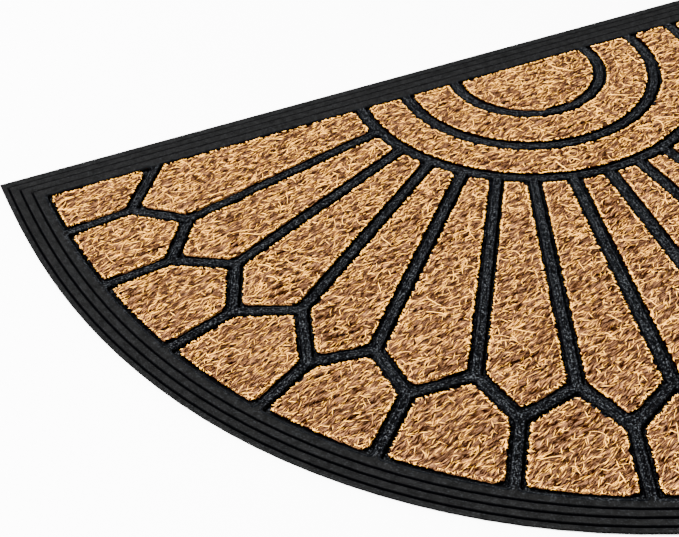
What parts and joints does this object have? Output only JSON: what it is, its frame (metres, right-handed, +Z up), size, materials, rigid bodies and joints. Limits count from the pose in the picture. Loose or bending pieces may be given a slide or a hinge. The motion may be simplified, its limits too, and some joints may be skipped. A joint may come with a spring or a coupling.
{
  "type": "doormat",
  "caption": "Half-round doormat: a thin moulded rubber mat with a stepped frame and raised fan-shaped ribs, its pockets filled with coir pads.",
  "frame": {"origin": "on the underside, at the centre of the mat's bounding rectangle", "axes": "+Z up out of the pile side; +X along the straight side; the straight side is at +Y and the round side at -Y"},
  "size_m": [0.7622, 0.445, 0.0049],
  "materials": {
    "moulded_rubber": "matte black moulded rubber with a faint grain",
    "coir_yarn": "dull golden-brown coir yarn, laid in rows along the straight side"
  },
  "bodies": {
    "root": {"rubber_mat": "moulded_rubber", "pad_hub": "coir_yarn", "pad_ring_1": "coir_yarn", "pad_ring_2": "coir_yarn", "pad_fan_01": "coir_yarn", "pad_fan_02": "coir_yarn", "pad_fan_03": "coir_yarn", "pad_fan_04": "coir_yarn", "pad_fan_05": "coir_yarn", "pad_fan_06": "coir_yarn", "pad_fan_07": "coir_yarn", "pad_fan_08": "coir_yarn", "pad_fan_09": "coir_yarn", "pad_fan_10": "coir_yarn", "pad_fan_11": "coir_yarn", "pad_fan_12": "coir_yarn", "pad_fan_13": "coir_yarn", "pad_fan_14": "coir_yarn", "pad_fan_15": "coir_yarn", "pad_fan_16": "coir_yarn", "pad_fan_17": "coir_yarn", "pad_rim_01": "coir_yarn", "pad_rim_02": "coir_yarn", "pad_rim_03": "coir_yarn", "pad_rim_04": "coir_yarn", "pad_rim_05": "coir_yarn", "pad_rim_06": "coir_yarn", "pad_rim_07": "coir_yarn", "pad_rim_08": "coir_yarn", "pad_rim_09": "coir_yarn", "pad_rim_10": "coir_yarn", "pad_rim_11": "coir_yarn", "pad_rim_12": "coir_yarn", "pad_rim_13": "coir_yarn", "pad_rim_14": "coir_yarn", "pad_rim_15": "coir_yarn", "pad_rim_16": "coir_yarn", "pad_rim_17": "coir_yarn", "pad_rim_18": "coir_yarn"}
  },
  "joints": []
}
